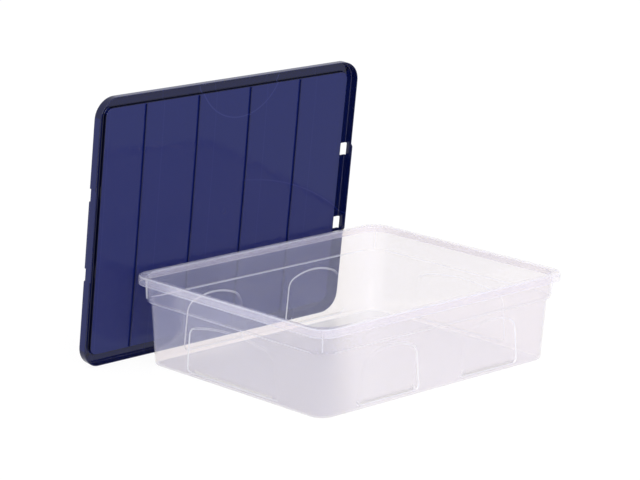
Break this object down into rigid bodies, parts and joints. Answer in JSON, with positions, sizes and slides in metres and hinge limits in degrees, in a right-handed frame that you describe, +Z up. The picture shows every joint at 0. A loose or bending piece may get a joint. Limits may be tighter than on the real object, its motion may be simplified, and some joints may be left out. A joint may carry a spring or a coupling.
{
  "type": "under bed box",
  "caption": "Low clear plastic storage tub with arched wall panels and a rim, with its loose ribbed navy press-on lid leaning against it.",
  "frame": {"origin": "middle of the tub's flat base, on the surface it stands on", "axes": "+X along the tub's long side, +Y towards the side that the lid leans on, +Z up"},
  "size_m": [0.6783, 0.5039, 0.4738],
  "materials": {
    "clear_polypropylene": "clear, slightly milky, glossy",
    "navy_polypropylene": "translucent navy, smooth"
  },
  "bodies": {
    "tub": {"tub": "clear_polypropylene"},
    "lid": {"lid": "navy_polypropylene"}
  },
  "joints": [
    {"name": "lid_lift", "type": "slide", "parent": "tub", "child": "lid", "axis": [0, 0, 1], "range_m": [0, 0.2]}
  ]
}
